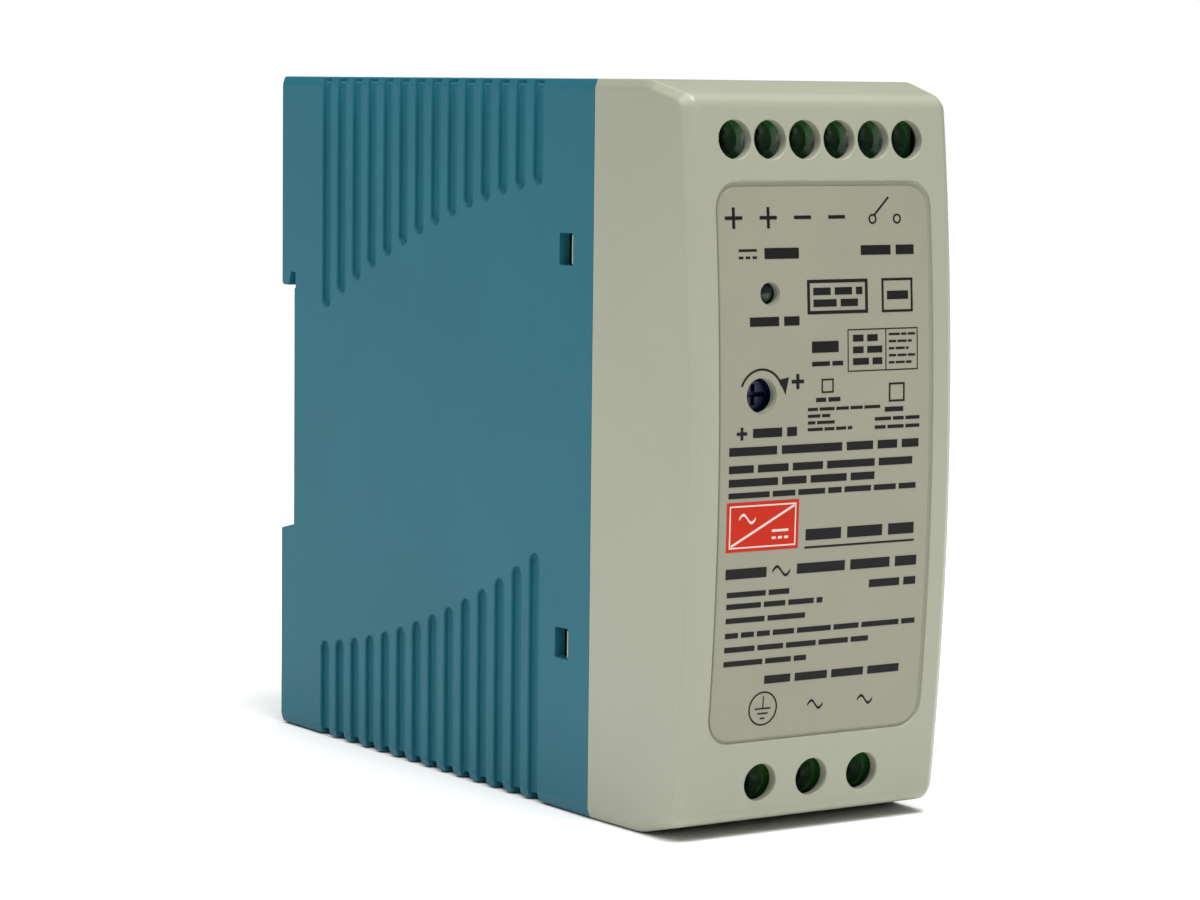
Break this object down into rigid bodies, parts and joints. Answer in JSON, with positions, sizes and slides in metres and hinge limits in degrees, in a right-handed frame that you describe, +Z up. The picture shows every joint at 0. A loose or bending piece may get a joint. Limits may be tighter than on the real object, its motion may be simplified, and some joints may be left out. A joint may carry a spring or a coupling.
{
  "type": "din rail power supply",
  "caption": "Slim rail-mounted switching power supply in a two-part plastic case with grooved sides, a bulging front cover, screw terminals behind holes and a sprung rail latch.",
  "frame": {"origin": "centre of the case bottom, on the plane the case stands on", "axes": "+X to the right as seen from the front, +Y from the front cover towards the rail, +Z up"},
  "size_m": [0.04, 0.1, 0.09],
  "materials": {
    "housing_plastic": "fine moulded texture, matte",
    "cover_plastic": "smooth moulded, satin",
    "label_film": "printed film, satin",
    "latch_plastic": "moulded, satin",
    "zinc_steel": "zinc plated",
    "plated_brass": "stamped",
    "terminal_plastic": "moulded, satin",
    "circuit_board": "solder mask over woven glass",
    "led_lens": "diffused resin",
    "trimmer_plastic": "moulded",
    "white_plastic": "moulded",
    "insulating_paper": "pressed fibre",
    "ferrite": "sintered, matte",
    "black_plastic": "moulded epoxy",
    "yellow_tape": "polyester tape",
    "capacitor_sleeve": "shrunk sleeve",
    "copper_wire": "enamelled wire",
    "green_coating": "dipped coating",
    "blue_coating": "dipped coating",
    "sink_aluminium": "extruded, satin"
  },
  "bodies": {
    "case": {"rear_housing": "housing_plastic", "front_cover": "cover_plastic", "front_label": "label_film", "latch_spring": "zinc_steel", "switch_screw": "zinc_steel", "rectifier_screw": "zinc_steel", "output_terminal_block": "terminal_plastic", "input_terminal_block": "terminal_plastic", "output_board": "circuit_board", "input_board": "circuit_board", "main_board": "circuit_board", "status_led": "led_lens", "trimmer_body": "trimmer_plastic", "signal_relay": "white_plastic", "optocoupler": "white_plastic", "fuse": "white_plastic", "insulation_sheet": "insulating_paper", "transformer_core": "ferrite", "input_choke_core": "ferrite", "transformer_bobbin": "black_plastic", "bridge_rectifier": "black_plastic", "power_switch": "black_plastic", "output_rectifier": "black_plastic", "control_chip": "black_plastic", "transformer_winding": "yellow_tape", "filter_capacitor": "yellow_tape", "bulk_capacitor": "capacitor_sleeve", "output_capacitor_1": "capacitor_sleeve", "output_capacitor_2": "capacitor_sleeve", "input_choke_winding_1": "copper_wire", "input_choke_winding_2": "copper_wire", "output_inductor_winding": "copper_wire", "output_inductor_core": "green_coating", "inrush_thermistor": "green_coating", "surge_varistor": "blue_coating", "safety_capacitor": "blue_coating", "switch_heatsink": "sink_aluminium", "rectifier_heatsink": "sink_aluminium"},
    "latch": {"din_latch": "latch_plastic"},
    "trimmer": {"trimmer_rotor": "trimmer_plastic"},
    "output_screw_1_body": {"output_screw_1": "zinc_steel"},
    "output_clamp_1_body": {"output_clamp_1": "plated_brass"},
    "output_screw_2_body": {"output_screw_2": "zinc_steel"},
    "output_clamp_2_body": {"output_clamp_2": "plated_brass"},
    "output_screw_3_body": {"output_screw_3": "zinc_steel"},
    "output_clamp_3_body": {"output_clamp_3": "plated_brass"},
    "output_screw_4_body": {"output_screw_4": "zinc_steel"},
    "output_clamp_4_body": {"output_clamp_4": "plated_brass"},
    "output_screw_5_body": {"output_screw_5": "zinc_steel"},
    "output_clamp_5_body": {"output_clamp_5": "plated_brass"},
    "output_screw_6_body": {"output_screw_6": "zinc_steel"},
    "output_clamp_6_body": {"output_clamp_6": "plated_brass"},
    "input_screw_1_body": {"input_screw_1": "zinc_steel"},
    "input_clamp_1_body": {"input_clamp_1": "plated_brass"},
    "input_screw_2_body": {"input_screw_2": "zinc_steel"},
    "input_clamp_2_body": {"input_clamp_2": "plated_brass"},
    "input_screw_3_body": {"input_screw_3": "zinc_steel"},
    "input_clamp_3_body": {"input_clamp_3": "plated_brass"}
  },
  "joints": [
    {"name": "latch_pull", "type": "slide", "parent": "case", "child": "latch", "axis": [0, 0, -1], "range_m": [0, 0.004], "stiffness_N_per_m": 2000, "springref_m": -0.003, "deforming": ["latch_spring"]},
    {"name": "trimmer_turn", "type": "hinge", "parent": "case", "child": "trimmer", "pos_m": [-0.00966, -0.0474, 0.053], "axis": [0, 1, 0], "range_deg": [-135, 135]},
    {"name": "output_screw_1_turn", "type": "hinge", "parent": "case", "child": "output_screw_1_body", "pos_m": [-0.0127, -0.042, 0.08305], "axis": [0, 1, 0], "range_deg": [0, 1873]},
    {"name": "output_clamp_1_lift", "type": "slide", "parent": "case", "child": "output_clamp_1_body", "axis": [0, -1, 0], "range_m": [0, 0.0026]},
    {"name": "output_screw_2_turn", "type": "hinge", "parent": "case", "child": "output_screw_2_body", "pos_m": [-0.00762, -0.042, 0.08305], "axis": [0, 1, 0], "range_deg": [0, 1873]},
    {"name": "output_clamp_2_lift", "type": "slide", "parent": "case", "child": "output_clamp_2_body", "axis": [0, -1, 0], "range_m": [0, 0.0026]},
    {"name": "output_screw_3_turn", "type": "hinge", "parent": "case", "child": "output_screw_3_body", "pos_m": [-0.00254, -0.042, 0.08305], "axis": [0, 1, 0], "range_deg": [0, 1873]},
    {"name": "output_clamp_3_lift", "type": "slide", "parent": "case", "child": "output_clamp_3_body", "axis": [0, -1, 0], "range_m": [0, 0.0026]},
    {"name": "output_screw_4_turn", "type": "hinge", "parent": "case", "child": "output_screw_4_body", "pos_m": [0.00254, -0.042, 0.08305], "axis": [0, 1, 0], "range_deg": [0, 1873]},
    {"name": "output_clamp_4_lift", "type": "slide", "parent": "case", "child": "output_clamp_4_body", "axis": [0, -1, 0], "range_m": [0, 0.0026]},
    {"name": "output_screw_5_turn", "type": "hinge", "parent": "case", "child": "output_screw_5_body", "pos_m": [0.00762, -0.042, 0.08305], "axis": [0, 1, 0], "range_deg": [0, 1873]},
    {"name": "output_clamp_5_lift", "type": "slide", "parent": "case", "child": "output_clamp_5_body", "axis": [0, -1, 0], "range_m": [0, 0.0026]},
    {"name": "output_screw_6_turn", "type": "hinge", "parent": "case", "child": "output_screw_6_body", "pos_m": [0.0127, -0.042, 0.08305], "axis": [0, 1, 0], "range_deg": [0, 1873]},
    {"name": "output_clamp_6_lift", "type": "slide", "parent": "case", "child": "output_clamp_6_body", "axis": [0, -1, 0], "range_m": [0, 0.0026]},
    {"name": "input_screw_1_turn", "type": "hinge", "parent": "case", "child": "input_screw_1_body", "pos_m": [-0.00762, -0.042, 0.0063], "axis": [0, 1, 0], "range_deg": [0, 1873]},
    {"name": "input_clamp_1_lift", "type": "slide", "parent": "case", "child": "input_clamp_1_body", "axis": [0, -1, 0], "range_m": [0, 0.0026]},
    {"name": "input_screw_2_turn", "type": "hinge", "parent": "case", "child": "input_screw_2_body", "pos_m": [0, -0.042, 0.0063], "axis": [0, 1, 0], "range_deg": [0, 1873]},
    {"name": "input_clamp_2_lift", "type": "slide", "parent": "case", "child": "input_clamp_2_body", "axis": [0, -1, 0], "range_m": [0, 0.0026]},
    {"name": "input_screw_3_turn", "type": "hinge", "parent": "case", "child": "input_screw_3_body", "pos_m": [0.00762, -0.042, 0.0063], "axis": [0, 1, 0], "range_deg": [0, 1873]},
    {"name": "input_clamp_3_lift", "type": "slide", "parent": "case", "child": "input_clamp_3_body", "axis": [0, -1, 0], "range_m": [0, 0.0026]}
  ],
  "couplings": [
    {"joint": "output_screw_1_turn", "follows": "output_clamp_1_lift", "rad_per_m": 12566},
    {"joint": "output_screw_2_turn", "follows": "output_clamp_2_lift", "rad_per_m": 12566},
    {"joint": "output_screw_3_turn", "follows": "output_clamp_3_lift", "rad_per_m": 12566},
    {"joint": "output_screw_4_turn", "follows": "output_clamp_4_lift", "rad_per_m": 12566},
    {"joint": "output_screw_5_turn", "follows": "output_clamp_5_lift", "rad_per_m": 12566},
    {"joint": "output_screw_6_turn", "follows": "output_clamp_6_lift", "rad_per_m": 12566},
    {"joint": "input_screw_1_turn", "follows": "input_clamp_1_lift", "rad_per_m": 12566},
    {"joint": "input_screw_2_turn", "follows": "input_clamp_2_lift", "rad_per_m": 12566},
    {"joint": "input_screw_3_turn", "follows": "input_clamp_3_lift", "rad_per_m": 12566}
  ]
}
